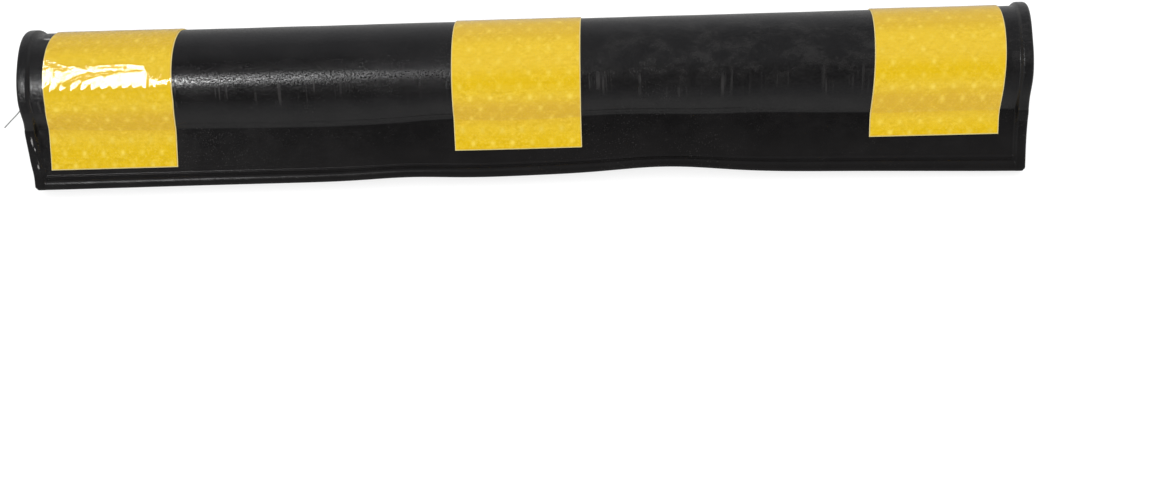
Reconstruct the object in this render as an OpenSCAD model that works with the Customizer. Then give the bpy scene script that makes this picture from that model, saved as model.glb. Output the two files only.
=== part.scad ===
// Rounded corner guard for a parking space: one long rubber moulding with a hollow
// round nose and two flat flanges at a right angle, and three reflective bands
// wrapped over the nose. It stands on its two flange edges, nose up.
// The length runs along X, the origin is on the floor under the middle of the nose.

/* [Moulding] */
// Length over both end rims
body_length = 800; // [400:10:1200]
// Outer radius of the round nose
nose_r = 47; // [40:1:60]
// Thickness of the rubber wall
wall = 10; // [8:0.5:14]
// Width of each flange's inner side, from the wall corner to the free edge
leg_w = 103; // [90:1:140]

/* [Raised rims] */
// Width of the rim round each end
rim_w = 9; // [6:0.5:12]
// Height of the rim above the surface
rim_h = 3; // [1.5:0.25:4]
// Width of the bead along each flange's free edge
bead_w = 10; // [6:0.5:14]
// Height of that bead above the flange
bead_h = 2.5; // [1:0.25:4]

/* [Reflective bands] */
// Width of each band along the guard
band_w = 100; // [50:5:120]
// Distance from an end to the first band
band_end_gap = 20.5; // [12:0.5:60]
// Distance of the middle band's centre from the middle of the guard
band_middle_shift = -3.5; // [-20:0.5:20]
// Length of each band, measured over the nose from flange to flange
band_length = 189; // [180:1:200]
// How far the left band sits towards the front
left_band_slip = 5.5; // [-6:0.5:6]
// How far the middle band sits towards the front
middle_band_slip = -1.5; // [-6:0.5:6]
// How far the right band sits towards the front
right_band_slip = -4.5; // [-6:0.5:6]
// Thickness of the adhesive layer
glue_t = 0.3; // [0.2:0.05:0.5]
// Thickness of the prism sheet
sheet_t = 0.5; // [0.3:0.05:0.8]
// Thickness of the clear face film
face_t = 0.25; // [0.2:0.05:0.4]

/* [Hidden] */
$fn = 96;

LEFT = 0;
MIDDLE = 1;
RIGHT = 2;
FRONT = 1;
BACK = -1;

// The wall corner just touches the inside of the nose, which sets the flanges' place.
nose_inner_r = nose_r - wall;
corner_gap = 0.2;
flange_in = (nose_inner_r - corner_gap) / sqrt(2);
flange_out = flange_in + wall;
// Distance of a flange's free edge from the foot of the nose axis on that flange
flange_end = leg_w - flange_in;
// Height of the nose axis when the guard stands on its inner flange edges
axis_z = (flange_end - flange_in) / sqrt(2);
// Half the angle of the nose that stands free between the two creases
crease_angle = 45 + acos(flange_out / nose_r);
crease_s = sqrt(pow(nose_r, 2) - pow(flange_out, 2));
nose_arc = nose_r * crease_angle * PI / 180 * 2;
// The bead's section is a segment of a circle, rooted in the flange
bead_root = wall / 4;
bead_arc_r = (pow(bead_w / 2, 2) + pow(bead_h, 2)) / (2 * bead_h);
// Where the flanges and the hollow start, inside the nose
flange_root = crease_s / 2;
hollow_root = crease_s / 3;
reach = 2 * (nose_r + leg_w);

band_x = [
    -body_length / 2 + band_end_gap,
    band_middle_shift - band_w / 2,
    body_length / 2 - band_end_gap - band_w
];
band_slip = [left_band_slip, middle_band_slip, right_band_slip];
glue_from = 0;
sheet_from = glue_t;
face_from = glue_t + sheet_t;

// A straight slab along one flange: from and to are distances down the flange from
// the foot of the nose axis, low and high are heights above that axis.
module slab(side, from, to, low, high) {
    rotate(side * 45)
        translate([side == FRONT ? -to : from, low])
            square([to - from, high - low]);
}

// The inside of a nose of radius r and of two flanges whose faces lie at distance
module hollow(r, distance) {
    circle(r = r);
    for (side = [FRONT, BACK])
        slab(side, hollow_root, reach, distance - reach, distance);
}

// The nose and the flanges as one solid outline, grown outwards by skin
module outer_outline(skin, front_end, back_end) {
    circle(r = nose_r + skin);
    slab(FRONT, flange_root, front_end, 0, flange_out + skin);
    slab(BACK, flange_root, back_end, 0, flange_out + skin);
}

// An outline drawn around the nose axis, stood up and run along X
module along_x(from_x, length) {
    translate([from_x, 0, axis_z])
        rotate([90, 0, 90])
            linear_extrude(length)
                children();
}

// The bead along a flange's free edge: a segment of a circle on the outer face
module edge_bead(side) {
    rotate(side * 45)
        translate([-side * (flange_end - bead_w / 2), flange_out])
            intersection() {
                translate([0, bead_h - bead_arc_r])
                    circle(r = bead_arc_r);
                translate([-bead_w / 2, -bead_root])
                    square([bead_w, bead_h + bead_root]);
            }
}

module wall_section() {
    difference() {
        outer_outline(0, flange_end, flange_end);
        hollow(nose_inner_r, flange_in);
    }
    edge_bead(FRONT);
    edge_bead(BACK);
}

module rim_section() {
    difference() {
        outer_outline(rim_h, flange_end, flange_end);
        hollow(nose_inner_r, flange_in);
    }
}

module rubber_body() {
    color("#1c1d20") {
        along_x(-body_length / 2, body_length)
            wall_section();
        along_x(-body_length / 2, rim_w)
            rim_section();
        along_x(body_length / 2 - rim_w, rim_w)
            rim_section();
    }
}

// One layer of a band, lying between two heights above the rubber
module band_layer(band, from, thickness) {
    flat = (band_length - nose_arc) / 2 + crease_s;
    front_end = flat + band_slip[band];
    back_end = flat - band_slip[band];
    along_x(band_x[band], band_w)
        difference() {
            outer_outline(from + thickness, front_end, back_end);
            hollow(nose_r + from, flange_out + from);
        }
}

module band_adhesive(band) {
    color("#d9d6c8")
        band_layer(band, glue_from, glue_t);
}

module band_prism_sheet(band) {
    color("#f2c92e")
        band_layer(band, sheet_from, sheet_t);
}

module band_face_film(band) {
    color("#fbe58a")
        band_layer(band, face_from, face_t);
}

rubber_body();
band_adhesive(LEFT);  // left_band_adhesive
band_prism_sheet(LEFT);  // left_band_prism_sheet
band_face_film(LEFT);  // left_band_face_film
band_adhesive(MIDDLE);  // middle_band_adhesive
band_prism_sheet(MIDDLE);  // middle_band_prism_sheet
band_face_film(MIDDLE);  // middle_band_face_film
band_adhesive(RIGHT);  // right_band_adhesive
band_prism_sheet(RIGHT);  // right_band_prism_sheet
band_face_film(RIGHT);  // right_band_face_film
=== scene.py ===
import math

import bmesh
import bpy
import numpy as np
from mathutils import Matrix, Vector


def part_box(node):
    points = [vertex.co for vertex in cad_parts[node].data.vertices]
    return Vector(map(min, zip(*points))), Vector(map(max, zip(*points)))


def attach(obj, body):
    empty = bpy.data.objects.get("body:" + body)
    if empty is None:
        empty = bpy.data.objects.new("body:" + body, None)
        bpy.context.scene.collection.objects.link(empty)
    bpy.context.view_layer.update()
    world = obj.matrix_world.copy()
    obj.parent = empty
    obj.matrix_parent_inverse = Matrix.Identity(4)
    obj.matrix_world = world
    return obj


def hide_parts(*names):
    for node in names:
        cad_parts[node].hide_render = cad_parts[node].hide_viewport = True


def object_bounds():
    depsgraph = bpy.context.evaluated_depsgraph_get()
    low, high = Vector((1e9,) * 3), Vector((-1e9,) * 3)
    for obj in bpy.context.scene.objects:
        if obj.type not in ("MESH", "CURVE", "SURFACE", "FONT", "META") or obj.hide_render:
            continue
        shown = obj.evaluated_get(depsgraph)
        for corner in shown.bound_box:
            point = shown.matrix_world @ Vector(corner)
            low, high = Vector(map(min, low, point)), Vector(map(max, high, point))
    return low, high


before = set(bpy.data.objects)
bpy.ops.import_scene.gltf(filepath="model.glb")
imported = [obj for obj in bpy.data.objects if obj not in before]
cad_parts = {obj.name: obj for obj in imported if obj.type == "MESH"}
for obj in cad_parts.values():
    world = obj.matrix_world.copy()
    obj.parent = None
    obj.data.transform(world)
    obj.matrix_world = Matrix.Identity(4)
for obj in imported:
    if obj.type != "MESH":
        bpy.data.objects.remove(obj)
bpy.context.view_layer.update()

# The guard's section lies in the YZ plane. Its outer face is unrolled into s, the distance
# along the face from the top of the nose: minus towards the front (-Y), plus to the back.
# Lengths are in metres and angles in radians, unless a name says otherwise.
MM = 0.001
FRONT = -1
BACK = 1

# ---------------- sizes of the moulding
BODY_LOW, BODY_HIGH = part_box("rubber_body")
HALF_LENGTH = (BODY_HIGH[0] - BODY_LOW[0]) / 2
NOSE_R = 47 * MM
WALL = 10 * MM
LEG_W = 103 * MM
CORNER_GAP = 0.2 * MM
CREASE_FILLET = 2.6 * MM

FLANGE_ANGLE = math.radians(45)
NOSE_INNER_R = NOSE_R - WALL
FLANGE_IN = (NOSE_INNER_R - CORNER_GAP) / math.sqrt(2)
FLANGE_OUT = FLANGE_IN + WALL
FLANGE_END = LEG_W - FLANGE_IN
AXIS_Z = (FLANGE_END - FLANGE_IN) / math.sqrt(2)

# Where the fillet in the crease touches the nose and the flange
FILLET_TURN = math.acos((FLANGE_OUT + CREASE_FILLET) / (NOSE_R + CREASE_FILLET))
NOSE_TURN = FLANGE_ANGLE + FILLET_TURN
FLANGE_START = math.sqrt((NOSE_R + CREASE_FILLET) ** 2 - (FLANGE_OUT + CREASE_FILLET) ** 2)
S_NOSE = NOSE_R * NOSE_TURN
S_CREASE = S_NOSE + CREASE_FILLET * FILLET_TURN
S_EDGE = S_CREASE + FLANGE_END - FLANGE_START


def smoothstep(value):
    """0 below 0, 1 above 1, and a smooth rise between them."""
    t = np.clip(value, 0.0, 1.0)
    return t * t * (3 - 2 * t)


def step_up(value, start, width):
    """0 up to start, and 1 from start + width on."""
    return smoothstep((value - start) / width)


def step_down(value, end, width):
    """1 up to end - width, and 0 from end on."""
    return smoothstep((end - value) / width)


def bump(distance, width):
    """A bell of height 1 at distance 0."""
    return np.exp(-((distance / width) ** 2))


def sign_of(value):
    """-1 on the front or the left half, 1 on the other."""
    return np.where(value < 0, -1.0, 1.0)


def value_noise(u, v, seed):
    """Smooth noise from -1 to 1 on a lattice of unit cells, the same at each run."""
    table = np.random.RandomState(seed).uniform(-1, 1, (64, 64))
    iu = np.floor(u).astype(int)
    iv = np.floor(v).astype(int)
    fu = smoothstep(u - iu)
    fv = smoothstep(v - iv)
    low = table[iu % 64, iv % 64] * (1 - fu) + table[(iu + 1) % 64, iv % 64] * fu
    high = table[iu % 64, (iv + 1) % 64] * (1 - fu) + table[(iu + 1) % 64, (iv + 1) % 64] * fu
    return low * (1 - fv) + high * fv


# ---------------- how the rubber deviates
# The free edges and the creases wander in the flange's plane. A row is one swell:
# (place along X, half width, how far the edge or the crease moves away from the nose).
EDGE_WAVES = {
    FRONT: [
        (-400 * MM, 120 * MM, 0.8 * MM),
        (-92 * MM, 42 * MM, -2.2 * MM),
        (20 * MM, 60 * MM, -1.2 * MM),
        (114 * MM, 58 * MM, -5.6 * MM),
        (440 * MM, 170 * MM, 5.3 * MM),
    ],
    BACK: [
        (-330 * MM, 100 * MM, 3.6 * MM),
        (40 * MM, 120 * MM, -2.6 * MM),
        (360 * MM, 90 * MM, 3.4 * MM),
    ],
}
CREASE_WAVES = {
    FRONT: [
        (-400 * MM, 60 * MM, -2.8 * MM),
        (-170 * MM, 75 * MM, 1.5 * MM),
        (-60 * MM, 35 * MM, -2.2 * MM),
        (80 * MM, 60 * MM, -2.4 * MM),
        (190 * MM, 30 * MM, -1.0 * MM),
        (300 * MM, 60 * MM, 1.6 * MM),
        (400 * MM, 50 * MM, 1.5 * MM),
    ],
    BACK: [
        (-280 * MM, 90 * MM, 1.4 * MM),
        (-40 * MM, 70 * MM, -1.8 * MM),
        (230 * MM, 80 * MM, 1.2 * MM),
    ],
}
# The part of a flange, from its free edge, that follows the edge's waves
EDGE_WAVE_SHARE = 0.65
CREASE_WAVE_REACH = 13 * MM
NOSE_UNEVEN = 0.12 * MM
# Hollows and swells: (cell along X, cell along s, share of the height, shift, seed)
UNEVEN_LAYERS = [
    (38 * MM, 24 * MM, 1.0, 20, 3),
    (13 * MM, 11 * MM, 0.5, 70, 4),
]


def swell(table, x, s):
    """The waves of the side of the section that each s is on."""
    both = {side: sum(move * bump(x - place, width) for place, width, move in table[side])
            for side in (FRONT, BACK)}
    return np.where(s < 0, both[FRONT], both[BACK])


def base_point(s):
    """Place (y, z) and outward normal of the undeformed outer face at s."""
    side = sign_of(s)
    a = np.abs(s)
    turn = np.clip(a / NOSE_R, 0, NOSE_TURN)
    fillet_turn = np.clip((a - S_NOSE) / CREASE_FILLET, 0, FILLET_TURN)
    run = np.clip(a - S_CREASE, 0, None)
    tilt = turn - fillet_turn
    fillet_y = (NOSE_R + CREASE_FILLET) * math.sin(NOSE_TURN) - CREASE_FILLET * np.sin(tilt)
    fillet_z = (NOSE_R + CREASE_FILLET) * math.cos(NOSE_TURN) - CREASE_FILLET * np.cos(tilt)
    past_nose = a > S_NOSE
    y = np.where(past_nose, fillet_y, NOSE_R * np.sin(turn)) + run * math.cos(FLANGE_ANGLE)
    z = np.where(past_nose, fillet_z, NOSE_R * np.cos(turn)) - run * math.sin(FLANGE_ANGLE)
    return side * y, z + AXIS_Z, side * np.sin(tilt), np.cos(tilt)


def unevenness(x, s):
    """Low hollows and swells of the moulded rubber."""
    height = sum(share * value_noise(x / cell_x + shift, s / cell_s + shift, seed)
                 for cell_x, cell_s, share, shift, seed in UNEVEN_LAYERS)
    return NOSE_UNEVEN * height


def outer_face(x, s, rise):
    """The real outer face: the base face with its waves, raised along its normal."""
    y, z, ny, nz = base_point(s)
    side = sign_of(s)
    down_flange = (np.abs(s) - S_CREASE) / (S_EDGE - S_CREASE)
    near_edge = step_up(down_flange, 1 - EDGE_WAVE_SHARE, EDGE_WAVE_SHARE)
    slide = swell(EDGE_WAVES, x, s) * near_edge
    slide = slide + swell(CREASE_WAVES, x, s) * bump(np.abs(s) - S_CREASE, CREASE_WAVE_REACH)
    rise = rise + unevenness(x, s)
    y = y + ny * rise + side * slide * math.cos(FLANGE_ANGLE)
    z = z + nz * rise - slide * math.sin(FLANGE_ANGLE)
    return np.stack([x + np.zeros_like(s), y, z], axis=-1)


# ---------------- mesh helpers
SHARP_ANGLE = math.radians(50)


def add_piece(name, data):
    """A piece of the guard, which rides on the root body like all of them."""
    piece = bpy.data.objects.new(name, data)
    bpy.context.collection.objects.link(piece)
    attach(piece, "root")
    return piece


def add_mesh(name, points, faces, uvs, material):
    """A closed piece with its normals outwards and the unrolled face as its UV map."""
    mesh = bpy.data.meshes.new(name)
    mesh.from_pydata(points.tolist(), [], faces)
    layer = mesh.uv_layers.new(name="face_map")
    loop_vertices = np.empty(len(mesh.loops), dtype=np.int32)
    mesh.loops.foreach_get("vertex_index", loop_vertices)
    layer.data.foreach_set("uv", uvs[loop_vertices].astype(np.float32).ravel())
    shell = bmesh.new()
    shell.from_mesh(mesh)
    bmesh.ops.recalc_face_normals(shell, faces=shell.faces)
    shell.to_mesh(mesh)
    shell.free()
    mesh.materials.append(material)
    mesh.shade_smooth()
    mesh.set_sharp_from_angle(angle=SHARP_ANGLE)
    return add_piece(name, mesh)


def grid_faces(rows, columns, start=0, wrap=False):
    """Quads of a grid whose vertices run column by column within each row."""
    row, column = np.meshgrid(np.arange(rows - 1), np.arange(columns if wrap else columns - 1))
    a = start + row * columns + column
    b = start + row * columns + (column + 1) % columns
    return np.stack([a, b, b + columns, a + columns], axis=-1).reshape(-1, 4).tolist()


def grid_border(rows, columns):
    """The vertices round such a grid, in order, ending on the first one again."""
    index = np.arange(rows * columns).reshape(rows, columns)
    sides = [index[0, :-1], index[:-1, -1], index[-1, :0:-1], index[:0:-1, 0], index[0, :1]]
    return np.concatenate(sides).tolist()


def ladder_faces(left, right):
    """Quads between two rows of vertices of the same length."""
    return [(left[k], left[k + 1], right[k + 1], right[k]) for k in range(len(left) - 1)]


def stepped(*spans):
    """Numbers along (from, to, count) spans that follow each other, ends included."""
    parts = [np.linspace(start, stop, count, endpoint=False) for start, stop, count in spans]
    return np.concatenate(parts + [[spans[-1][1]]])


# ---------------- the rubber moulding
# The rim round each end, by distance from the end: its top, the share of the height that its
# crown falls on each side, the shoulder down to the face, and the groove beside it
RIM_W = 10.5 * MM
RIM_H = 3.0 * MM
RIM_TOP_AT = 0.45 * RIM_W
RIM_CROWN = 0.10
RIM_SHOULDER_AT = 0.72 * RIM_W
RIM_SHOULDER_W = 0.30 * RIM_W
RIM_CREASE_FILL = 2.2 * MM
RIM_CREASE_REACH = 6.5 * MM
RIM_GROOVE_AT = 1.12 * RIM_W
RIM_GROOVE_DEPTH = 0.35 * MM
RIM_GROOVE_REACH = 0.8 * MM
# The lip, the groove and the fine ridge along a free edge, by distance from that edge
LIP_W = 8.2 * MM
LIP_H = 2.4 * MM
LIP_CREST = 0.46 * LIP_W
GROOVE_AT = 8.9 * MM
GROOVE_DEPTH = 0.55 * MM
GROOVE_REACH = 0.6 * MM
RIDGE_AT = 10.4 * MM
RIDGE_H = 0.8 * MM
RIDGE_REACH = 0.7 * MM
LIP_ZONE = 14 * MM
# A faint second line above the front crease, in places
LINE_ABOVE_CREASE = 3.6 * MM
LINE_DEPTH = 0.28 * MM
LINE_REACH = 0.6 * MM
LINE_CELL = 70 * MM
LINE_SEED = 8
# Lumps that the mould left inside the left rim: (from the end, s, height, radius)
RIM_LUMPS = [
    (8.8 * MM, -78 * MM, 1.4 * MM, 2.6 * MM),
    (8.6 * MM, -82.5 * MM, 0.9 * MM, 1.6 * MM),
    (8.9 * MM, -97.5 * MM, 1.3 * MM, 2.3 * MM),
    (15.0 * MM, 16.0 * MM, 0.9 * MM, 2.6 * MM),
]
LUMP_SQUASH = 0.6
# Rounding radii of the free edge, the wall's side, the ends and the flange's plan corner
EDGE_ROUND = 2.6 * MM
BACK_ROUND = 0.9 * MM
END_ROUND = 2.4 * MM
CORNER_ROUND = 3.6 * MM
EDGE_STEPS = 5
# How far the ends stand out: high on the back of the nose, over the whole nose, at the front
# fold and at the front foot. A pair is for the (left, right) end, and minus is drawn in.
END_LEAN = 5.2 * MM
NOSE_LEAN = 1.1 * MM
FOLD_LEAN = (2.0 * MM, 0.8 * MM)
FOOT_LEAN = (-1.3 * MM, 0.0)
LEAN_STARTS = 376 * MM
LEAN_W = 9 * MM
# How the mesh is spaced: sections close together from the end to END_ZONE, and columns close
# together at the crease and the lip
END_ZONE = 14 * MM
MIDDLE_SECTIONS = 240
CREASE_ZONE = 7 * MM
LIP_COLUMNS_ZONE = 12.5 * MM


def lip_height(d):
    """Height of the lip, the groove and the fine ridge at distance d from the free edge."""
    across = np.clip((d - LIP_CREST) / (LIP_W - LIP_CREST), 0, 1)
    lip = LIP_H * np.sqrt(1 - across ** 2)
    groove = GROOVE_DEPTH * bump(d - GROOVE_AT, GROOVE_REACH)
    ridge = RIDGE_H * bump(d - RIDGE_AT, RIDGE_REACH)
    return lip - groove + ridge


def rim_height(e, s):
    """Height of the end rim and its groove at distance e from the end."""
    crown = RIM_H * (1 - RIM_CROWN * ((e - RIM_TOP_AT) / (0.5 * RIM_W)) ** 2)
    crown = crown + RIM_CREASE_FILL * bump(np.abs(s) - S_CREASE, RIM_CREASE_REACH)
    shoulder = 1 - step_up(e, RIM_SHOULDER_AT, RIM_SHOULDER_W)
    groove = RIM_GROOVE_DEPTH * bump(e - RIM_GROOVE_AT, RIM_GROOVE_REACH)
    return crown * shoulder - groove


def end_rounding(e, radius):
    """How far a face falls back at distance e from the end, to round the end's edge."""
    inside = np.clip(radius - e, 0, radius)
    return radius - np.sqrt(radius ** 2 - inside ** 2)


def outer_lift(x, s):
    """Height above the base face of all that stands proud of it or is cut into it."""
    e = HALF_LENGTH - np.abs(x)
    d = S_EDGE - np.abs(s)
    lip = np.where(d < LIP_ZONE, lip_height(np.clip(d, 0, None)), 0)
    lift = np.maximum(lip, rim_height(e, s)) - end_rounding(e, END_ROUND)
    for from_end, place, height, radius in RIM_LUMPS:
        off = np.hypot(e - from_end, (s - place) * LUMP_SQUASH)
        lift = lift + (x < 0) * height * bump(off, radius)
    line = bump(s + S_NOSE - LINE_ABOVE_CREASE, LINE_REACH)
    shows = smoothstep(value_noise(x / LINE_CELL + 11, 0 * s + 5.5, LINE_SEED) * 2.2 + 0.4)
    return lift - LINE_DEPTH * line * shows


def round_corner(x, d):
    """Moves points near the flange's square plan corner, so that it becomes round."""
    e = HALF_LENGTH - np.abs(x)
    along = np.clip(CORNER_ROUND - e, 0, None)
    across = np.clip(CORNER_ROUND - d, 0, None)
    reach = np.maximum(np.hypot(along, across), 1e-9)
    scale = np.where((along > 0) & (across > 0), np.maximum(along, across) / reach, 1.0)
    moved_e = np.where(along > 0, CORNER_ROUND - along * scale, e)
    moved_d = np.where(across > 0, CORNER_ROUND - across * scale, d)
    return sign_of(x) * (HALF_LENGTH - moved_e), moved_d


def flange_point(x, side, d, n):
    """A point of a flange, d from its free edge and n from the plane through the axis."""
    moved_x, moved_d = round_corner(x, d)
    near_edge = smoothstep(1 - moved_d / (EDGE_WAVE_SHARE * (S_EDGE - S_CREASE)))
    r = FLANGE_END - moved_d + swell(EDGE_WAVES, moved_x, side + 0 * x) * near_edge
    y = side * (n * math.sin(FLANGE_ANGLE) + r * math.cos(FLANGE_ANGLE))
    z = AXIS_Z + n * math.cos(FLANGE_ANGLE) - r * math.sin(FLANGE_ANGLE)
    return np.stack([moved_x, y, z], axis=-1)


def edge_points(x, side, n_outer):
    """The rounded free edge, from the outer face to the wall's side."""
    turns = np.linspace(0, math.pi / 2, EDGE_STEPS + 1)
    n_inner = FLANGE_IN + end_rounding(HALF_LENGTH - np.abs(x), BACK_ROUND)
    outer = [flange_point(x, side, EDGE_ROUND * (1 - math.sin(a)) + 0 * x,
                          n_outer - EDGE_ROUND * (1 - math.cos(a))) for a in turns[1:]]
    inner = [flange_point(x, side, BACK_ROUND * (1 - math.cos(a)) + 0 * x,
                          n_inner + BACK_ROUND * (1 - math.sin(a))) for a in turns[:-1]]
    return np.stack(outer + inner, axis=1)


def inner_face(x, q):
    """The wall's side, for q from -1 at the front free edge to 1 at the back one."""
    side = sign_of(q)
    turn_in = FLANGE_ANGLE + math.acos(FLANGE_IN / NOSE_INNER_R)
    arc = NOSE_INNER_R * turn_in
    start = math.sqrt(NOSE_INNER_R ** 2 - FLANGE_IN ** 2)
    straight = FLANGE_END - start - BACK_ROUND
    a = np.abs(q) * (arc + straight)
    turn = np.clip(a / NOSE_INNER_R, 0, turn_in)
    rise = end_rounding(HALF_LENGTH - np.abs(x), BACK_ROUND)
    radius = NOSE_INNER_R + rise
    nose = np.stack([x, side * radius * np.sin(turn), AXIS_Z + radius * np.cos(turn)], axis=-1)
    flat = flange_point(x, side, FLANGE_END - start - (a - arc), FLANGE_IN + rise)
    return np.where((a > arc)[..., None], flat, nose)


def end_lean(x, s):
    """How far the ends stand out past the CAD model's flat ends."""
    high = END_LEAN * step_up(s, -20 * MM, 66 * MM)
    nose = NOSE_LEAN * step_up(s, -62 * MM, 22 * MM)
    above_back_edge = step_down(s, 110 * MM, 60 * MM)
    fold = np.where(x < 0, *FOLD_LEAN) * bump(s + 76 * MM, 15 * MM)
    foot = np.where(x < 0, *FOOT_LEAN) * step_down(s, -92 * MM, 16 * MM)
    near_end = step_up(np.abs(x), LEAN_STARTS, LEAN_W)
    return sign_of(x) * ((high + nose) * above_back_edge + fold + foot) * near_end


def body_rows():
    """Places of the sections along X: close together in the rims, wider in the middle."""
    near_end = stepped((0, END_ROUND, 9), (END_ROUND, END_ZONE, 24))
    middle_end = HALF_LENGTH - END_ZONE
    middle = np.linspace(-middle_end, middle_end, MIDDLE_SECTIONS)[1:-1]
    return np.concatenate([-HALF_LENGTH + near_end, middle, (HALF_LENGTH - near_end)[::-1]])


def body_columns():
    """Places of the outer face's points along s: close together at the crease and the lip."""
    half_face = stepped(
        (0, S_NOSE - CREASE_ZONE, 36),
        (S_NOSE - CREASE_ZONE, S_NOSE, 14),
        (S_NOSE, S_CREASE, 6),
        (S_CREASE, S_EDGE - LIP_COLUMNS_ZONE, 16),
        (S_EDGE - LIP_COLUMNS_ZONE, S_EDGE - EDGE_ROUND, 26),
    )
    return np.concatenate([-half_face[::-1], half_face[1:]])


def body_caps(rows, columns, face_count):
    """Faces that close both ends: a ladder from the outer face to the wall's side."""
    outer_row = list(range(columns - EDGE_STEPS, columns)) + list(range(face_count + EDGE_STEPS))
    inner_row = list(range(columns - EDGE_STEPS - 1, face_count + EDGE_STEPS - 1, -1))
    faces = []
    for start in (0, (rows - 1) * columns):
        faces += ladder_faces([start + k for k in outer_row], [start + k for k in inner_row])
    return faces


def build_body(material):
    """The rubber moulding: each section is a closed ring of points, and the ends are capped."""
    face_s = body_columns()
    inner_q = -face_s / face_s[-1]
    x, s = np.meshgrid(body_rows(), face_s, indexing="ij")
    moved_x, moved_d = round_corner(x, S_EDGE - np.abs(s))
    moved_s = sign_of(s) * (S_EDGE - moved_d)
    lift = outer_lift(x, s)
    outer = outer_face(moved_x, moved_s, lift)
    edge_n = FLANGE_OUT + lift + unevenness(moved_x, moved_s)
    back = edge_points(x[:, -1], BACK, edge_n[:, -1])
    front = edge_points(x[:, 0], FRONT, edge_n[:, 0])
    inner = inner_face(x, inner_q + 0 * x)
    ring = np.concatenate([outer, back, inner, front[:, ::-1]], axis=1)
    edge_s = np.full(2 * EDGE_STEPS, S_EDGE)
    ring_s = np.concatenate([face_s, edge_s, inner_q * S_EDGE, -edge_s])
    ring[..., 0] += end_lean(ring[..., 0], ring_s)
    edge_v = S_EDGE + np.linspace(0, WALL, 2 * EDGE_STEPS)
    inner_v = 2.5 * S_EDGE - LEG_W * np.abs(inner_q)
    ring_v = np.concatenate([face_s, edge_v, inner_v, -edge_v[::-1]])
    uvs = np.stack(np.meshgrid(body_rows(), ring_v, indexing="ij"), axis=-1).reshape(-1, 2)
    rows, columns = ring.shape[:2]
    faces = grid_faces(rows, columns, wrap=True) + body_caps(rows, columns, len(face_s))
    body = add_mesh("rubber_moulding", ring.reshape(-1, 3), faces, uvs, material)
    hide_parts("rubber_body")


# ---------------- the reflective bands
# Heights of each layer's two sides above the rubber
GLUE = (-0.1 * MM, 0.3 * MM)
SHEET = (0.28 * MM, 0.8 * MM)
FILM = (0.86 * MM, 1.08 * MM)
SHEET_BORDER = 0.8 * MM
FILM_BORDER = 0.3 * MM
# A band lies across the crease without following its sharp bottom
BRIDGE_RISE = 1.0 * MM
BRIDGE_REACH = 5.0 * MM
BRIDGE_ABOVE_CREASE = 1 * MM
# How each band lies, as it was laid by hand: (shift of its left edge, shift of its right
# edge, slope below LAY_TURN, slope above it, bend to the left at the fold)
BAND_LAY = {
    "left_band": (-0.4 * MM, 3.4 * MM, 0.070, -0.018, 0.9 * MM),
    "middle_band": (-0.3 * MM, 1.7 * MM, 0.010, 0.010, 0.3 * MM),
    "right_band": (-1.9 * MM, -0.2 * MM, 0.028, 0.048, 0.3 * MM),
}
LAY_TURN = -45 * MM
BEND_AT = -72 * MM
BEND_REACH = 20 * MM

# The prism sheet's cells: diamonds with a raised seam, and a finer net inside them
CELL_X = 15.8 * MM
CELL_S = 19.6 * MM
SEAM_W = 0.75 * MM
SEAM_H = 0.07 * MM
NET_H = 0.03 * MM
NET_PARTS = 3


def band_span(band):
    """Ends of a band along X and along s, from its CAD node."""
    low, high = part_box(band + "_prism_sheet")
    ends = []
    for reach in (-low[1], high[1]):
        along_flange = (reach - FLANGE_OUT * math.sin(FLANGE_ANGLE)) / math.cos(FLANGE_ANGLE)
        ends.append(S_CREASE + along_flange - FLANGE_START)
    return low[0], high[0], -ends[0], ends[1]


def to_nearest(value):
    """Distance to the nearest whole number."""
    return np.abs(value - np.round(value))


def cell_relief(x, s):
    """Raised seams of the prism sheet."""
    slope = math.hypot(1 / CELL_X, 1 / CELL_S)
    relief = 0 * x
    for parts, height in ((1, SEAM_H), (NET_PARTS, NET_H)):
        for direction in (1, -1):
            off = to_nearest(parts * (x / CELL_X + direction * s / CELL_S)) / (parts * slope)
            relief = relief + height * bump(off, SEAM_W)
    return relief


def laid_by_hand(band, flat_x, s):
    """Where a band's points really lie along X."""
    left_shift, right_shift, low_slope, high_slope, bend = BAND_LAY[band]
    across = (flat_x - flat_x.min()) / (flat_x.max() - flat_x.min())
    above = s - LAY_TURN
    x = flat_x + left_shift + (right_shift - left_shift) * across
    x = x + low_slope * np.minimum(above, 0) + high_slope * np.maximum(above, 0)
    return x - bend * bump(s - BEND_AT, BEND_REACH)


def build_layer(band, layer, heights, inset, steps, material, relief=None, lift_under=False):
    """A closed thin shell that follows the outer face between two heights."""
    x_low, x_high, s_front, s_back = band_span(band)
    step_x, step_s = steps
    row_x = np.linspace(x_low + inset, x_high - inset, round((x_high - x_low) / step_x) + 1)
    row_s = np.linspace(s_front + inset, s_back - inset, round((s_back - s_front) / step_s) + 1)
    flat_x, s = np.meshgrid(row_x, row_s, indexing="ij")
    x = laid_by_hand(band, flat_x, s)
    bridge = BRIDGE_RISE * bump(np.abs(s) - S_CREASE + BRIDGE_ABOVE_CREASE, BRIDGE_REACH)
    proud = relief(x, s) if relief else 0
    top = heights[1] + bridge + proud
    under = heights[0] + bridge + (proud if lift_under else 0)
    points = np.concatenate([outer_face(x, s, rise).reshape(-1, 3) for rise in (top, under)])
    rows, columns = x.shape
    count = rows * columns
    border = grid_border(rows, columns)
    faces = grid_faces(rows, columns) + grid_faces(rows, columns, start=count)
    faces += ladder_faces(border, [k + count for k in border])
    flat = np.stack([x, s], axis=-1).reshape(-1, 2)
    piece = add_mesh(f"{band}_{layer}_skin", points, faces, np.concatenate([flat, flat]), material)
    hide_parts(f"{band}_{layer}")
    return piece


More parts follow.
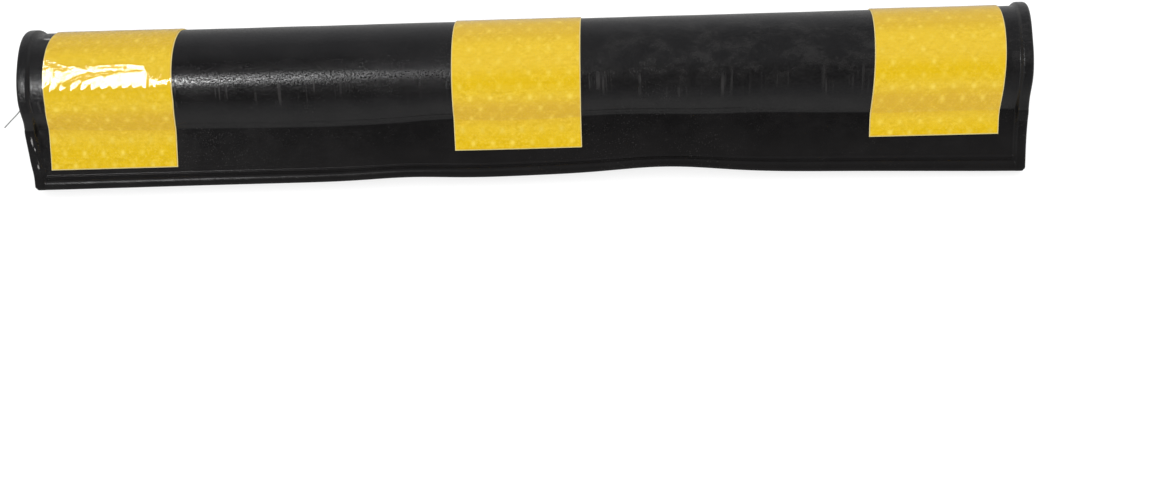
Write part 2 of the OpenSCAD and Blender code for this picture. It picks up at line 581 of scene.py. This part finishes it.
# ---------------- the left band's loose film
# The clear face film of the left band has come loose on the front of the nose. It lies flatter
# there than the nose, so it mirrors the lamp as one white patch with a puckered lower edge,
# below which it tucks in and stays dark.
PATCH_MIDDLE = -29.0 * MM
PATCH_TOP = -13.8 * MM
PATCH_FOOT = -33.4 * MM
PATCH_LEFT_FROM = -361 * MM
PATCH_LEFT_SLOPE = 0.48
PATCH_RIGHT = -298.5 * MM
PATCH_RIGHT_SLOPE = 0.55
PATCH_LIFT = 0.15 * MM
PATCH_REACH = 13 * MM
# How wavy the outline is, in noise cells a metre and in height
OUTLINE_CELLS = 75.0
OUTLINE_WANDER = 3.5 * MM
# The puckers are deep, and the foot sags, at the left only
PUCKERS_LEFT = (-352 * MM, -328 * MM)
PUCKER_PITCH = 8.4 * MM
PUCKER_SLANT = 0.75
DEEP_PUCKER = 9.0 * MM
LOW_PUCKER = 3.0 * MM
PATCH_SAG = 0.8 * MM
TUCK_TURN = 0.22
# Creases in the film: (height, half width, places (x, s) in mm that the crease passes)
FILM_CREASES = [
    (0.20 * MM, 0.8 * MM, [(-377, -11.5), (-362, -19.5)]),
    (0.42 * MM, 1.7 * MM, [(-362, -29.0), (-355, -25.6), (-348, -22.8), (-341, -21.2)]),
    (0.40 * MM, 1.6 * MM, [(-347, -25.4), (-340, -22.9), (-333, -21.4), (-324, -20.7)]),
    (0.14 * MM, 0.6 * MM, [(-326, -20.8), (-300, -19.9)]),
    (0.20 * MM, 0.8 * MM, [(-293, -21.0), (-288, -26.0), (-284, -22.5)]),
]


def off_segment(x, s, start, end):
    """Distance to a straight segment of the unrolled face."""
    dx, ds = end[0] - start[0], end[1] - start[1]
    t = np.clip(((x - start[0]) * dx + (s - start[1]) * ds) / (dx * dx + ds * ds), 0, 1)
    return np.hypot(x - start[0] - t * dx, s - start[1] - t * ds)


def loose_film(x, s):
    """Height of the left band's film above its place on the prism sheet."""
    middle = 0.5 * (PATCH_TOP + PATCH_FOOT)
    left_of_end = step_down(x, PATCH_RIGHT + 6 * MM, 9 * MM)
    lift = PATCH_LIFT * bump(s - middle, PATCH_REACH) * left_of_end
    crease = 0 * x
    for height, width, places in FILM_CREASES:
        for (x0, s0), (x1, s1) in zip(places, places[1:]):
            off = off_segment(x, s, (x0 * MM, s0 * MM), (x1 * MM, s1 * MM))
            crease = np.maximum(crease, height * np.clip(1 - off / width, 0, 1))
    # Where it is loose the film doesn't follow the rubber's unevenness, but lies above it
    taut = smoothstep(lift / PATCH_LIFT * 3)
    return lift + crease + taut * (1.2 * NOSE_UNEVEN - unevenness(x, s))


# ---------------- node helpers
class Nodes:
    """A short way to write nodes. A value is a socket, a number, a vector or a colour."""

    def __init__(self, tree, output="ShaderNodeOutputMaterial"):
        tree.nodes.clear()
        self.tree = tree
        self.output = self.add(output)

    def feed(self, socket, value):
        """Links a socket to value, or sets it to that value."""
        if isinstance(value, bpy.types.NodeSocket):
            self.tree.links.new(value, socket)
        else:
            socket.default_value = value

    def add(self, kind, inputs=None, **settings):
        """A new node with its settings made and its inputs fed."""
        node = self.tree.nodes.new(kind)
        for key, value in settings.items():
            setattr(node, key, value)
        for key, value in (inputs or {}).items():
            self.feed(node.inputs[key], value)
        return node

    def math(self, operation, *values):
        node = self.add("ShaderNodeMath", operation=operation)
        for socket, value in zip(node.inputs, values):
            self.feed(socket, value)
        return node.outputs[0]

    def plus(self, a, b):
        return self.math("ADD", a, b)

    def minus(self, a, b):
        return self.math("SUBTRACT", a, b)

    def inverse(self, value):
        """0 where value is 1, and 1 where it is 0."""
        return self.minus(1.0, value)

    def absolute(self, value):
        return self.math("ABSOLUTE", value)

    def times(self, *values):
        """The product of all values."""
        result = values[0]
        for value in values[1:]:
            result = self.math("MULTIPLY", result, value)
        return result

    def ramp(self, value, low, high, to_low=0.0, to_high=1.0):
        """A smooth step of value between low and high."""
        node = self.add("ShaderNodeMapRange", interpolation_type="SMOOTHSTEP")
        for socket, item in zip(node.inputs, (value, low, high, to_low, to_high)):
            self.feed(socket, item)
        return node.outputs[0]

    def ramp_straight(self, value, low, high):
        """0 at low, 1 at high, and straight between them."""
        node = self.add("ShaderNodeMapRange", {"Value": value, "From Min": low, "From Max": high})
        return node.outputs[0]

    def falling(self, value, low, high):
        """1 below low, 0 above high."""
        return self.ramp(value, low, high, 1.0, 0.0)

    def zone(self, value, rises, falls):
        """1 between two soft edges, given as the (from, to) where it rises and where it falls."""
        return self.times(self.ramp(value, *rises), self.falling(value, *falls))

    def mix(self, factor, a, b):
        """Colour a for factor 0, b for factor 1."""
        node = self.add("ShaderNodeMix", data_type="RGBA")
        self.feed(node.inputs["Factor"], factor)
        self.feed(node.inputs[6], a)
        self.feed(node.inputs[7], b)
        return node.outputs[2]

    def coats(self, tone, coats):
        """A tone with (share, colour) coats laid over it one after the other."""
        for share, colour in coats:
            tone = self.mix(share, tone, colour)
        return tone

    def stops(self, value, tones):
        """A colour that runs through (place, tone) stops, for value from 0 to 1."""
        node = self.add("ShaderNodeValToRGB", {"Fac": value})
        ramp = node.color_ramp
        while len(ramp.elements) < len(tones):
            ramp.elements.new(0.5)
        for element, (place, tone) in zip(ramp.elements, tones):
            element.position = place
            element.color = tone
        return node.outputs["Color"]

    def vector(self, operation, a, b):
        return self.add("ShaderNodeVectorMath", {0: a, 1: b}, operation=operation).outputs[0]

    def noise(self, vector, cells, detail=2.0, roughness=0.5):
        """Noise with so many cells a metre: one number, or one for each axis."""
        if isinstance(cells, tuple):
            vector = self.vector("MULTIPLY", vector, cells)
            cells = 1.0
        inputs = {"Vector": vector, "Scale": cells, "Detail": detail, "Roughness": roughness}
        return self.add("ShaderNodeTexNoise", inputs).outputs[0]

    def face_noise(self, place, cells, detail=2.0, roughness=0.5):
        """Noise on the unrolled face, with (along X, along s) cells a metre."""
        return self.noise(place, (*cells, 1.0), detail, roughness)

    def bump(self, height, distance):
        """The normal of a surface with that relief."""
        return self.add("ShaderNodeBump", {"Height": height, "Distance": distance}).outputs[0]

    def face_map(self):
        """The place on the unrolled face, and its x and s."""
        place = self.add("ShaderNodeUVMap", uv_map="face_map").outputs[0]
        parts = self.add("ShaderNodeSeparateXYZ", {0: place}).outputs
        return place, parts[0], parts[1]

    def object_place(self):
        """The place in the object's own coordinates."""
        return self.add("ShaderNodeTexCoord").outputs["Object"]

    def finish(self, shader):
        """Leads a shader to the tree's output."""
        self.tree.links.new(shader.outputs[0], self.output.inputs[0])


def new_material(name):
    """An empty material and its nodes."""
    material = bpy.data.materials.new(name)
    material.use_nodes = True
    return material, Nodes(material.node_tree)


# ---------------- the rubber's material
RUBBER_DARK = (0.0058, 0.0054, 0.0056, 1)
RUBBER_LIGHT = (0.0086, 0.0080, 0.0082, 1)
SMUDGE = (0.028, 0.0265, 0.026, 1)
# Tone that the flanges grow lighter towards, near their free edges
FLANGE_FOOT_TONE = (0.015, 0.0142, 0.0142, 1)
SCUFF = (0.046, 0.043, 0.042, 1)
DUST = (0.070, 0.066, 0.064, 1)
# Tone of the painted highlights on the left rim
GLINT_TONE = (0.42, 0.41, 0.40, 1)
# Painted highlights near the left end, pale spots where the rim would catch the lamp: (x, s, half
# width, half height) in mm
PAINTED_GLINTS = [
    (-394.4, -79.0, 0.9, 3.6),
    (-393.2, -84.5, 0.7, 1.6),
    (-393.4, -97.6, 1.0, 2.2),
    (-380.6, 17.5, 2.9, 2.0),
]
PEEL_DEPTH = 0.075 * MM
# The streak where the front of the nose mirrors the lamp, and the wider strip beside it
STREAK = ((-35 * MM, -29.5 * MM), (-27 * MM, -22 * MM))
STREAK_SIDES = ((-52 * MM, -42 * MM), (-16 * MM, -6 * MM))
# Where these fade out along X
BEFORE_RIMS = (373 * MM, 381 * MM)
DULL_SIDES_UNTIL = (-170 * MM, -50 * MM)
GRAINS_UNTIL = (-60 * MM, 20 * MM)


def rubber_scuff(n, place, s):
    """Scuffs that run round the nose on the lower part of its front."""
    streak = n.face_noise(place, (330.0, 14.0), 1.0)
    patch = n.face_noise(place, (24.0, 34.0))
    front = n.zone(s, (-56 * MM, -44 * MM), (-37 * MM, -26 * MM))
    return n.times(n.ramp(streak, 0.54, 0.74), n.ramp(patch, 0.43, 0.62), front)


def glint_share(n, glint_spot, x, s, grain):
    """1 inside a painted highlight spot, whose outline is ragged."""
    at_x, at_s, half_x, half_s = (value * MM for value in glint_spot)
    along = n.math("DIVIDE", n.minus(x, at_x), half_x)
    across = n.math("DIVIDE", n.minus(s, at_s), half_s)
    off = n.math("SQRT", n.plus(n.times(along, along), n.times(across, across)))
    off = n.plus(off, n.times(n.minus(grain, 0.5), 1.2))
    return n.falling(off, 0.35, 1.05)


def rubber_tone(n, place, x, s, mottle, grain, scuff):
    """Colour of the rubber, with pale smudges and dust, more of them on the right half's nose, and
    painted highlights on the left end.
    """
    solid = n.object_place()
    right_nose = n.times(n.ramp(x, 30 * MM, 110 * MM), n.ramp(s, -48 * MM, -30 * MM))
    smudge = n.ramp(n.face_noise(place, (38.0, 60.0), 6.0, 0.75), 0.44, 0.64)
    smudge = n.times(smudge, n.plus(0.20, n.times(right_nose, 0.80)))
    low_down = n.ramp(n.absolute(s), S_CREASE + 4 * MM, S_EDGE - 12 * MM)
    speck = n.ramp(n.noise(solid, 900.0, 1.0, 0.4), 0.62, 0.76)
    dusty = n.ramp(n.noise(solid, 17.0, 3.0, 0.6), 0.48, 0.66)
    tone = n.mix(n.ramp(mottle, 0.35, 0.7), RUBBER_DARK, RUBBER_LIGHT)
    coats = [
        (n.times(smudge, 0.60), SMUDGE),
        # The flanges are lighter towards their free edges
        (n.times(low_down, 0.5), FLANGE_FOOT_TONE),
        (n.times(scuff, 0.60), SCUFF),
        (n.times(n.times(speck, dusty), 0.40), DUST),
    ]
    # Painted highlights: pale spots on the left rim that stand in for the lamp's glints
    coats += [(n.times(glint_share(n, glint_spot, x, s, grain), 0.8), GLINT_TONE) for glint_spot in PAINTED_GLINTS]
    return n.coats(tone, coats)


def rubber_gloss(n, place, x, s, on_flange):
    """Gloss of the rubber: the streak breaks up into glossy and dull grains."""
    fleck = n.face_noise(place, (620.0, 760.0), 2.0, 0.6)
    on_lip = n.ramp(n.absolute(s), S_EDGE - 14 * MM, S_EDGE - 10 * MM)
    duller = n.inverse(n.plus(n.times(on_flange, 0.45), n.times(on_lip, 0.25)))
    between_rims = n.falling(n.absolute(x), *BEFORE_RIMS)
    streak = n.zone(s, *STREAK)
    left_part = n.times(between_rims, n.falling(x, *DULL_SIDES_UNTIL))
    beside = n.times(n.zone(s, *STREAK_SIDES), n.inverse(streak), left_part)
    grains = n.times(n.ramp(fleck, 0.36, 0.62, -0.36, 0.52), streak, between_rims)
    grains = n.times(grains, n.falling(x, *GRAINS_UNTIL))
    return n.times(n.minus(n.plus(0.5, grains), n.times(beside, 0.28)), duller)


def rubber_material():
    """Black rubber: glossier on the nose, with scuffs, dust and a fine orange peel."""
    material, n = new_material("black_rubber_detail")
    place, x, s = n.face_map()
    solid = n.object_place()
    grain = n.noise(solid, 1500.0)
    mottle = n.noise(solid, 30.0, 4.0, 0.65)
    scuff = rubber_scuff(n, place, s)
    on_flange = n.ramp(n.absolute(s), S_CREASE - 2 * MM, S_CREASE + 1 * MM)
    peel = n.ramp(n.face_noise(place, (380.0, 520.0), 3.0, 0.7), 0.46, 0.64)
    peel = n.times(n.plus(peel, n.times(grain, 0.25)), n.inverse(n.times(on_flange, 0.6)))
    shader = n.add("ShaderNodeBsdfPrincipled", {
        "Base Color": rubber_tone(n, place, x, s, mottle, grain, scuff),
        "Roughness": n.plus(n.ramp(mottle, 0.3, 0.75, 0.20, 0.26), n.times(scuff, 0.2)),
        "Specular IOR Level": rubber_gloss(n, place, x, s, on_flange),
        "Normal": n.bump(peel, PEEL_DEPTH),
    })
    n.finish(shader)
    return material


# ---------------- the bands' materials
GOLD = (0.745, 0.488, 0.031, 1)
BRIGHT = (0.840, 0.580, 0.032, 1)
DEEP = (0.818, 0.550, 0.003, 1)
DULL = (0.745, 0.468, 0.024, 1)
# Tone of the prism sheet at places s in mm, by how the light strikes it there
SHEET_TONES = [
    (-95, DEEP), (-88, DEEP), (-76, BRIGHT), (-68, DULL), (-57, DULL),
    (-47, BRIGHT), (-37, DEEP), (-22, BRIGHT), (-6, BRIGHT), (3, GOLD),
]
TONES_FROM = -100
TONES_TO = 30
TONE_WANDER = 9 * MM
# Tones of the marks on the prism sheet
GRIT = (0.93, 0.69, 0.09, 1)
PALE_BLOTCH = (0.95, 0.70, 0.06, 1)
DARK_BLOTCH = (0.70, 0.45, 0.004, 1)
DASH = (0.75, 0.49, 0.010, 1)
SEAM = (0.72, 0.47, 0.02, 1)
SMALL_KNOT = (0.93, 0.69, 0.08, 1)
KNOT = (0.96, 0.74, 0.11, 1)
DULL_KNOT = (0.60, 0.38, 0.02, 1)
GRAZED = (0.74, 0.49, 0.075, 1)
SHEET_RELIEF = 0.10 * MM

LOOSE_CLOUD = (0.55, 0.55, 0.50, 1)
TAUT_CLOUD = (0.9, 0.9, 0.9, 1)
CLEAR_FILM = (1.0, 0.995, 0.98, 1)
LOOSE_RIPPLE = 0.25 * MM
TAUT_RIPPLE = 0.05 * MM
FILM_IOR = 1.50
WHITE = (1, 1, 1, 1)


def off_nets(n, u, v, parts):
    """How far a place is from the lines of a net that rise, and from those that fall."""
    sums = (n.plus(u, v), n.minus(u, v))
    return [n.math("PINGPONG", n.times(value, parts), 0.5) for value in sums]


def sheet_tone(n, s, patch):
    """Tone of the plain prism sheet at s, with ragged borders between the tones."""
    wander = n.plus(s, n.times(n.minus(patch, 0.5), TONE_WANDER))
    along = n.ramp_straight(wander, TONES_FROM * MM, TONES_TO * MM)
    span = TONES_TO - TONES_FROM
    return n.stops(along, [((at - TONES_FROM) / span, tone) for at, tone in SHEET_TONES])


def prism_material():
    """Yellow prism sheet: diamond cells whose knots glint or go dull in rows."""
    material, n = new_material("yellow_prism_detail")
    place, x, s = n.face_map()
    u = n.math("DIVIDE", x, CELL_X)
    v = n.math("DIVIDE", s, CELL_S)
    rising, falling = off_nets(n, u, v, 1.0)
    small_rising, small_falling = off_nets(n, u, v, float(NET_PARTS))
    seam = n.math("MAXIMUM", n.falling(rising, 0.02, 0.09), n.falling(falling, 0.02, 0.09))
    knot = n.times(n.falling(rising, 0.0, 0.30), n.falling(falling, 0.0, 0.30))
    small_knot = n.times(n.falling(small_rising, 0.0, 0.34), n.falling(small_falling, 0.0, 0.34))
    grit = n.face_noise(place, (420.0, 520.0), 3.0, 0.65)
    dash = n.face_noise(place, (120.0, 420.0), 2.0, 0.55)
    patch = n.face_noise(place, (60.0, 75.0))
    blotch = n.face_noise(place, (170.0, 260.0), 3.0, 0.65)
    row = n.face_noise(place, (3.0, 95.0), 0.0)
    facing = n.add("ShaderNodeLayerWeight", {"Blend": 0.5}).outputs["Facing"]
    # The marks are livelier on the front flange, on the belt above it and in patches
    on_flange = n.falling(s, -S_CREASE - 4 * MM, -S_CREASE + 1 * MM)
    belt = n.zone(s, (-53 * MM, -50 * MM), (-44 * MM, -40 * MM))
    belt = n.plus(n.times(on_flange, 0.6), n.times(belt, 0.8))
    lively = n.plus(n.ramp(patch, 0.40, 0.64, 0.30, 0.8), n.times(belt, 0.55))
    tone = n.coats(sheet_tone(n, s, patch), [
        (n.times(n.ramp(grit, 0.48, 0.70), lively, 0.50), GRIT),
        (n.times(n.ramp(blotch, 0.50, 0.66), lively, 0.40), PALE_BLOTCH),
        (n.times(n.falling(blotch, 0.36, 0.50), lively, 0.40), DARK_BLOTCH),
        (n.times(n.ramp(dash, 0.48, 0.70), 0.35), DASH),
        (n.times(seam, 0.08), SEAM),
        (n.times(small_knot, lively, 0.25), SMALL_KNOT),
        (n.times(knot, lively, 0.65), KNOT),
        (n.times(knot, n.falling(row, 0.36, 0.42), 0.22), DULL_KNOT),
        (n.ramp(facing, 0.55, 0.95, 0.0, 0.7), GRAZED),
    ])
    shader = n.add("ShaderNodeBsdfPrincipled", {
        "Base Color": tone,
        "Roughness": 0.50,
        "Specular IOR Level": 0.08,
        "Normal": n.bump(n.plus(n.times(grit, 0.6), n.times(small_knot, 0.4)), SHEET_RELIEF),
    })
    n.finish(shader)
    return material


def patch_share(n, x, s):
    """1 where the loose film lies flat, and 1 where it tucks in below that patch."""
    wander = n.add("ShaderNodeTexNoise", {"W": x, "Scale": OUTLINE_CELLS}, noise_dimensions="1D")
    wander = n.times(n.minus(wander.outputs[0], 0.5), OUTLINE_WANDER)
    left = n.math("MAXIMUM", n.minus(PATCH_LEFT_FROM, x), 0.0)
    top = n.plus(n.times(left, PATCH_LEFT_SLOPE), n.plus(wander, PATCH_TOP))
    slanted = n.minus(x, n.times(s, PUCKER_SLANT))
    wave = n.absolute(n.math("SINE", n.times(slanted, math.pi / PUCKER_PITCH)))
    at_left = n.falling(x, *PUCKERS_LEFT)
    notch = n.times(n.inverse(wave), n.ramp(at_left, 0.0, 1.0, LOW_PUCKER, DEEP_PUCKER))
    foot = n.plus(notch, n.plus(n.times(wander, 0.4), PATCH_FOOT))
    foot = n.minus(foot, n.times(at_left, PATCH_SAG))
    right = n.plus(PATCH_RIGHT, n.times(n.minus(PATCH_TOP, s), PATCH_RIGHT_SLOPE))
    under_top = n.ramp(n.minus(top, s), 0.0, 0.9 * MM)
    over_foot = n.ramp(n.minus(s, foot), 0.0, 0.6 * MM)
    before_right = n.ramp(n.minus(right, x), 0.0, 1.2 * MM)
    tuck = n.zone(n.minus(foot, s), (0.0, 0.5 * MM), (6 * MM, 12 * MM))
    return n.times(under_top, over_foot, before_right), n.times(tuck, before_right)


def loose_normal(n, normal, x, s, smear):
    """Turns a normal of the round nose to the flat patch's, or down where the film tucks in."""
    turn = n.math("DIVIDE", s, NOSE_R)
    inside, tuck = patch_share(n, x, s)
    share = n.times(inside, n.ramp(smear, 0.30, 0.55, 0.86, 0.97))
    to_flat = n.times(n.minus(PATCH_MIDDLE / NOSE_R, turn), share)
    turned = n.minus(n.plus(turn, to_flat), n.times(tuck, TUCK_TURN))
    directions = [
        n.add("ShaderNodeCombineXYZ", {1: n.math("SINE", t), 2: n.math("COSINE", t)}).outputs[0]
        for t in (turned, turn)
    ]
    # Only the difference is added, so that the creases in the normal are kept
    normal = n.vector("ADD", normal, n.vector("SUBTRACT", *directions))
    return n.add("ShaderNodeVectorMath", {0: normal}, operation="NORMALIZE").outputs[0]


def film_material(loose):
    """Clear face film: see-through, with a gloss on its outer side only."""
    material, n = new_material("loose_film_detail" if loose else "clear_film_detail")
    place, x, s = n.face_map()
    ripple = n.face_noise(place, (120.0, 150.0))
    smear = n.face_noise(place, (45.0, 60.0), 3.0, 0.6)
    cloud = n.ramp(n.face_noise(place, (330.0, 420.0), 2.0, 0.6), 0.36, 0.60)
    normal = n.bump(ripple, LOOSE_RIPPLE if loose else TAUT_RIPPLE)
    if loose:
        normal = loose_normal(n, normal, x, s, smear)
    gloss = n.add("ShaderNodeBsdfGlossy", {
        "Color": n.mix(cloud, LOOSE_CLOUD if loose else TAUT_CLOUD, WHITE),
        "Roughness": n.ramp(smear, 0.3, 0.7, 0.05, 0.10),
        "Normal": normal,
    })
    clear = n.add("ShaderNodeBsdfTransparent", {"Color": CLEAR_FILM})
    fresnel = n.add("ShaderNodeFresnel", {"IOR": FILM_IOR, "Normal": normal}).outputs[0]
    back = n.add("ShaderNodeNewGeometry").outputs["Backfacing"]
    share = n.times(fresnel, n.inverse(back))
    shader = n.add("ShaderNodeMixShader", {0: share, 1: clear.outputs[0], 2: gloss.outputs[0]})
    n.finish(shader)
    return material


def adhesive_material():
    """The adhesive's margin round the prism sheet: pale, a little cloudy."""
    material, n = new_material("adhesive_detail")
    place, _, _ = n.face_map()
    cloud = n.face_noise(place, (260.0, 260.0), 3.0, 0.6)
    shader = n.add("ShaderNodeBsdfPrincipled", {
        "Base Color": n.mix(cloud, (0.78, 0.62, 0.20, 1), (0.92, 0.80, 0.38, 1)),
        "Roughness": n.ramp(cloud, 0.2, 0.8, 0.40, 0.60),
        "Normal": n.bump(cloud, 0.05 * MM),
    })
    n.finish(shader)
    return material


# ---------------- building the bands
# Size of the meshes' cells along X and along s
ADHESIVE_STEPS = (3 * MM, 2.5 * MM)
SHEET_STEPS = (1 * MM, 1 * MM)
LOOSE_FILM_STEPS = (0.7 * MM, 0.45 * MM)
TAUT_FILM_STEPS = (3 * MM, 1.5 * MM)


def build_bands():
    """Adhesive, prism sheet and face film of the three bands. The left band's film is loose."""
    adhesive = adhesive_material()
    prism = prism_material()
    film = film_material(loose=False)
    loose = film_material(loose=True)
    for band in ("left_band", "middle_band", "right_band"):
        piece = build_layer(band, "adhesive", GLUE, 0.0, ADHESIVE_STEPS, adhesive)
        piece = build_layer(band, "prism_sheet", SHEET, SHEET_BORDER, SHEET_STEPS, prism,
                            relief=cell_relief)
        if band == "left_band":
            piece = build_layer(band, "face_film", FILM, FILM_BORDER, LOOSE_FILM_STEPS, loose,
                                relief=loose_film, lift_under=True)
        else:
            piece = build_layer(band, "face_film", FILM, FILM_BORDER, TAUT_FILM_STEPS, film)


# ---------------- the thread
THREAD_R = 0.5 * MM
THREAD_START = (-HALF_LENGTH + 1.0 * MM, -37.7 * MM, AXIS_Z + 24.5 * MM)
# Places of its bends in mm from its start
THREAD_BENDS = [(0, 0, 0), (-5, -3.5, -4), (-11, -5, -9), (-16.5, -6, -14), (-20, -6, -17.5)]


def thread_material():
    """Grey thread with a twist along it."""
    material, n = new_material("thread_detail")
    twist = n.noise(n.object_place(), (2500.0, 2500.0, 900.0))
    shader = n.add("ShaderNodeBsdfPrincipled", {
        "Base Color": n.mix(twist, (0.16, 0.165, 0.165, 1), (0.42, 0.42, 0.41, 1)),
        "Roughness": n.ramp(twist, 0.3, 0.7, 0.5, 0.7),
    })
    n.finish(shader)
    return material


def build_thread(material):
    """A stray fibre that sticks out of the left end, under the front of the nose."""
    curve = bpy.data.curves.new("loose_thread", "CURVE")
    curve.dimensions = "3D"
    curve.bevel_depth = THREAD_R
    curve.bevel_resolution = 3
    curve.use_fill_caps = True
    spline = curve.splines.new("NURBS")
    spline.points.add(len(THREAD_BENDS) - 1)
    for point, bend in zip(spline.points, THREAD_BENDS):
        place = Vector(THREAD_START) + Vector(bend) * MM
        point.co = (*place, 1)
    spline.use_endpoint_u = True
    spline.order_u = 3
    spline.resolution_u = 8
    curve.materials.append(material)
    piece = add_piece("loose_thread", curve)


# ---------------- camera
CAMERA_ELEVATION = math.radians(56.1)
CAMERA_YAW = math.radians(-3.48)
CAMERA_ROLL = math.radians(4.23)
CAMERA_DISTANCE = 1148.7 * MM
# Where the nose's axis lies from the line through the middle of the picture, right and up
CAMERA_ASIDE = (-33.3 * MM, 142.4 * MM)
SENSOR_WIDTH = 36.0
LENS = 43.712


def add_camera():
    """The photograph's camera: in front, looking down, turned and rolled a little."""
    cos_yaw, sin_yaw = math.cos(CAMERA_YAW), math.sin(CAMERA_YAW)
    cos_down, sin_down = math.cos(CAMERA_ELEVATION), math.sin(CAMERA_ELEVATION)
    cos_roll, sin_roll = math.cos(CAMERA_ROLL), math.sin(CAMERA_ROLL)
    right = Vector((cos_yaw, -sin_yaw, 0))
    up = Vector((sin_yaw * sin_down, cos_yaw * sin_down, cos_down))
    ahead = Vector((sin_yaw * cos_down, cos_yaw * cos_down, -sin_down))
    place = Vector((0, 0, AXIS_Z)) - ahead * CAMERA_DISTANCE
    place -= right * CAMERA_ASIDE[0] + up * CAMERA_ASIDE[1]
    rolled_right = right * cos_roll - up * sin_roll
    rolled_up = right * sin_roll + up * cos_roll
    axes = Matrix((rolled_right, rolled_up, -ahead)).transposed()
    data = bpy.data.cameras.new("camera")
    data.sensor_fit = "HORIZONTAL"
    data.sensor_width = SENSOR_WIDTH
    data.lens = LENS
    camera = bpy.data.objects.new("camera", data)
    camera.matrix_world = Matrix.Translation(place) @ axes.to_4x4()
    bpy.context.collection.objects.link(camera)
    bpy.context.scene.camera = camera


# ---------------- floor and light
FLOOR_HALF = 6.0
FLOOR_TONES = ((0.34, 0.34, 0.34, 1), (0.36, 0.36, 0.36, 1))
FLOOR_GLOW = 0.80
FLOOR_IN_GLOSS = 0.48
# The room that glossy surfaces mirror: dark on the camera's side, with a bright wall behind
ROOM = (0.27, 0.275, 0.29, 1)
CAMERA_SIDE = (0.06, 0.058, 0.058, 1)
CAMERA_SIDE_DEGREES = 42
BACK_WALL = (0.42, 0.425, 0.44, 1)
WALL_SLOPE = 0.74
AMBIENT = (0.82, 0.82, 0.82, 1)
LAMP_DISTANCE = 1.3
LAMP_HEIGHT = 0.20
LAMP_RADIANCE = 32.0
# The lamp's parts along X: (middle, width, elevation in degrees, share of the radiance)
LAMP_PARTS = [(-0.77, 0.30, 60, 1.0), (-0.44, 0.36, 65, 0.15)]
SOFT_PLACE = (0, -0.2, 2.0)
SOFT_SIZE = (2.6, 1.8)
SOFT_POWER = 13.0


def floor_material():
    """Pale floor, lit by the lamps and by a glow of its own."""
    material, n = new_material("pale_floor")
    pale = n.add("ShaderNodeBsdfPrincipled", {
        "Base Color": n.mix(n.noise(n.object_place(), 3.0), *FLOOR_TONES),
        "Roughness": 0.9,
        "Specular IOR Level": 0.1,
        "Emission Color": WHITE,
        "Emission Strength": FLOOR_GLOW,
    })
    # Glossy surfaces mirror it darker, like a floor outside the lamps' light
    dim = n.add("ShaderNodeEmission", {"Color": WHITE, "Strength": FLOOR_IN_GLOSS})
    glossy_ray = n.add("ShaderNodeLightPath").outputs["Is Glossy Ray"]
    top = n.add("ShaderNodeMixShader", {0: glossy_ray, 1: pale.outputs[0], 2: dim.outputs[0]})
    # From below it can be looked through
    below = n.add("ShaderNodeNewGeometry").outputs["Backfacing"]
    clear = n.add("ShaderNodeBsdfTransparent")
    shader = n.add("ShaderNodeMixShader", {0: below, 1: top.outputs[0], 2: clear.outputs[0]})
    n.finish(shader)
    return material


def add_floor():
    """The floor touches the lowest point of the rubber, whose edges aren't quite straight."""
    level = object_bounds()[0][2]
    signs = [(-1, -1), (1, -1), (1, 1), (-1, 1)]
    corners = [(x * FLOOR_HALF, y * FLOOR_HALF, level) for x, y in signs]
    mesh = bpy.data.meshes.new("floor")
    mesh.from_pydata(corners, [], [(0, 1, 2, 3)])
    mesh.materials.append(floor_material())
    floor = bpy.data.objects.new("floor", mesh)
    bpy.context.collection.objects.link(floor)


def section_direction(degrees):
    """A direction in the section's plane: 0 is to the front, 90 straight up, 180 to the back."""
    angle = math.radians(degrees)
    return Vector((0, -math.cos(angle), math.sin(angle)))


def add_area(name, place, target, size, power):
    """A rectangular lamp that shines from place to target."""
    data = bpy.data.lights.new(name, "AREA")
    data.shape = "RECTANGLE"
    data.size, data.size_y = size
    data.energy = power
    light = bpy.data.objects.new(name, data)
    light.location = place
    light.rotation_euler = (Vector(target) - Vector(place)).to_track_quat("-Z", "Y").to_euler()
    bpy.context.collection.objects.link(light)
    return light


def add_lights():
    """A lamp over the left end that only shows as a gloss, and a wide soft light."""
    for x, width, elevation, share in LAMP_PARTS:
        place = Vector((x, 0, AXIS_Z)) + section_direction(elevation) * LAMP_DISTANCE
        power = math.pi * width * LAMP_HEIGHT * LAMP_RADIANCE * share
        lamp = add_area("lamp", place, (x, 0, AXIS_Z), (width, LAMP_HEIGHT), power)
        lamp.visible_diffuse = False
    soft = add_area("soft", SOFT_PLACE, (0, 0, 0), SOFT_SIZE, SOFT_POWER)
    soft.visible_glossy = False


def add_world():
    """White for the camera, even light for matt surfaces, a dim room for glossy ones."""
    world = bpy.data.worlds.new("studio")
    world.use_nodes = True
    n = Nodes(world.node_tree, "ShaderNodeOutputWorld")
    toward = n.add("ShaderNodeTexCoord").outputs["Generated"]
    facing = n.add("ShaderNodeVectorMath", {0: toward}, operation="DOT_PRODUCT")
    facing.inputs[1].default_value = section_direction(CAMERA_SIDE_DEGREES)
    room = n.mix(n.ramp(facing.outputs["Value"], 0.84, 0.98), ROOM, CAMERA_SIDE)
    parts = n.add("ShaderNodeSeparateXYZ", {0: toward}).outputs
    below_wall_top = n.minus(n.times(parts[1], WALL_SLOPE), parts[2])
    room = n.mix(n.ramp(below_wall_top, -0.10, 0.06), room, BACK_WALL)
    rays = n.add("ShaderNodeLightPath").outputs
    tone = n.mix(rays["Is Glossy Ray"], AMBIENT, room)
    tone = n.mix(rays["Is Camera Ray"], tone, WHITE)
    n.finish(n.add("ShaderNodeBackground", {"Color": tone}))
    bpy.context.scene.world = world


# ---------------- the scene
build_body(rubber_material())
build_bands()
build_thread(thread_material())
add_floor()
add_world()
add_lights()
add_camera()
bpy.context.scene.view_settings.view_transform = "Standard"
